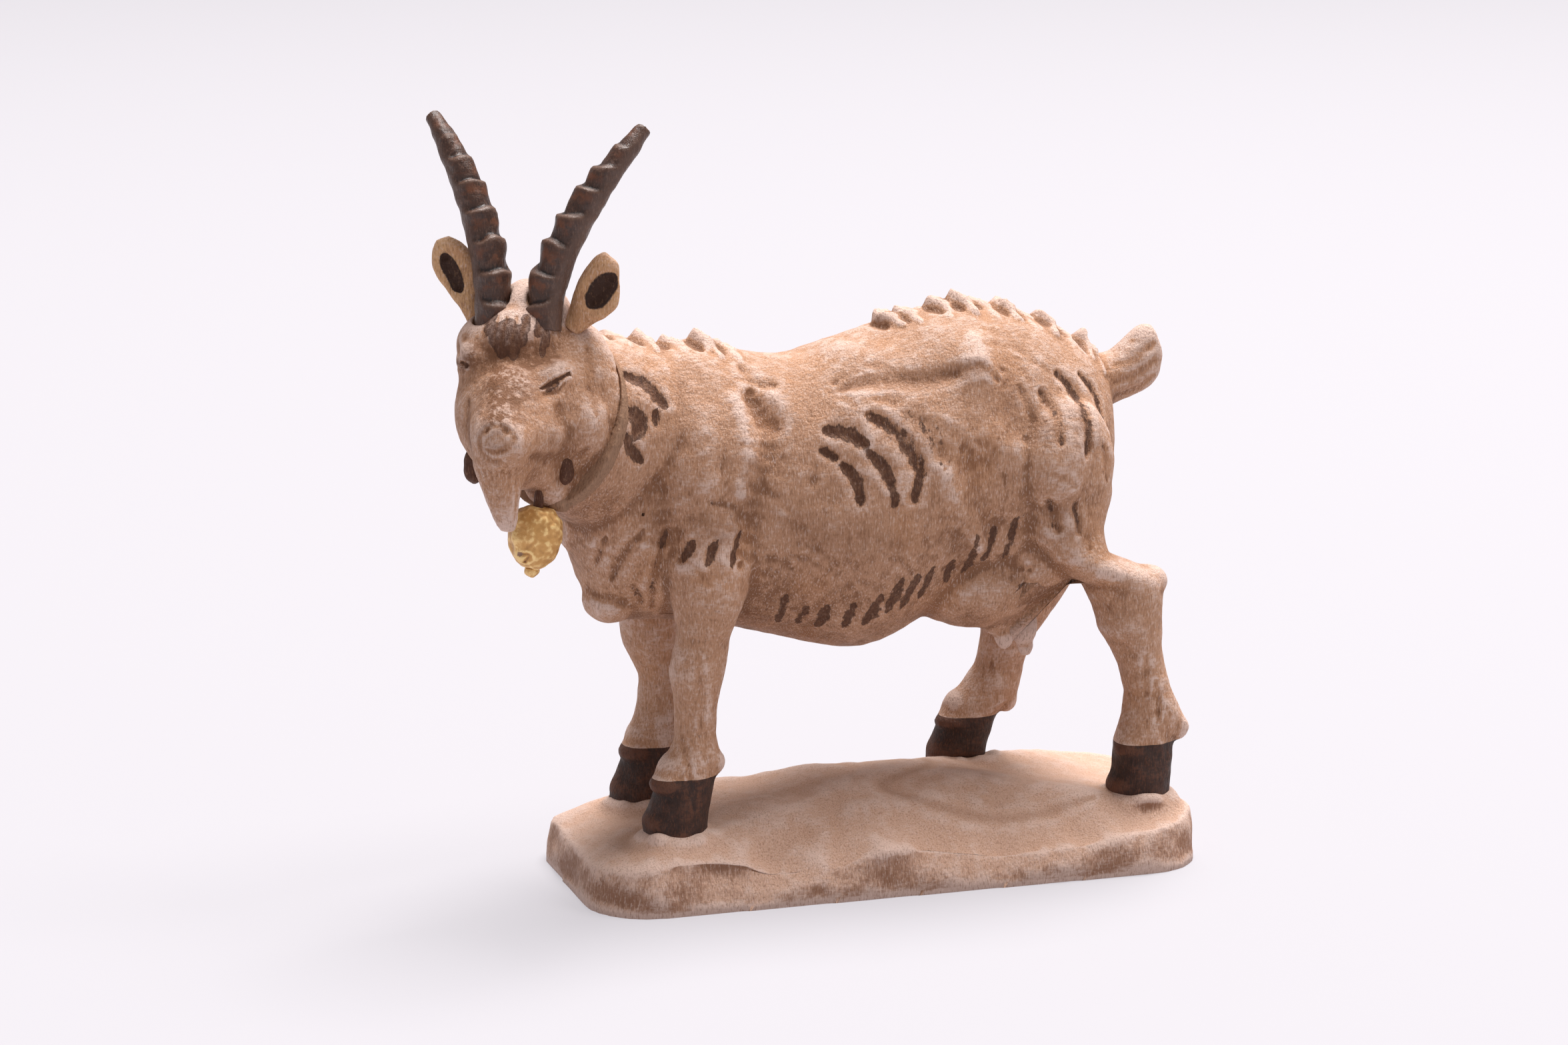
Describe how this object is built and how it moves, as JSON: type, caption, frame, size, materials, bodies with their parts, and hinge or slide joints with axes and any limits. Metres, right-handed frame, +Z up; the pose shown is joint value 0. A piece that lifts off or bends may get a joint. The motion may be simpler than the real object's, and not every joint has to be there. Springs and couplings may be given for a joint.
{
  "type": "carved goat figurine",
  "caption": "Carved and stained wooden nanny goat with ridged horns, beard, collar and gilded bell, head turned to its left, standing on a rounded ground plinth.",
  "frame": {"origin": "middle of the plinth's flat underside", "axes": "+Z up, the goat walks towards -X with its left flank towards -Y, and its tail points towards +X"},
  "size_m": [0.101, 0.0402, 0.1018],
  "materials": {
    "stained_wood": "pale stain over carved wood, matte",
    "hoof_paint": "dark brown stain, satin",
    "horn_paint": "dark brown stain rubbed back on the ridges, satin",
    "ear_stain": "warm stain, matte",
    "wattle_paint": "brown stain, matte",
    "collar_stain": "brown stain, matte",
    "gold_paint": "gold paint over carved wood",
    "bare_wood": "bare"
  },
  "bodies": {
    "root": {"plinth": "stained_wood", "torso": "stained_wood", "neck": "stained_wood", "head": "stained_wood", "beard": "stained_wood", "tail": "stained_wood", "leg_front_left": "stained_wood", "leg_front_right": "stained_wood", "leg_rear_left": "stained_wood", "leg_rear_right": "stained_wood", "hoof_front_left": "hoof_paint", "hoof_front_right": "hoof_paint", "hoof_rear_left": "hoof_paint", "hoof_rear_right": "hoof_paint", "horn_left": "horn_paint", "horn_right": "horn_paint", "ear_left": "ear_stain", "ear_right": "ear_stain", "wattle_left": "wattle_paint", "wattle_right": "wattle_paint", "collar": "collar_stain", "bell": "gold_paint", "bell_clapper": "gold_paint", "bell_pin": "bare_wood", "leg_dowels": "bare_wood", "foot_dowels": "bare_wood", "tail_dowel": "bare_wood", "neck_dowel": "bare_wood"}
  },
  "joints": []
}
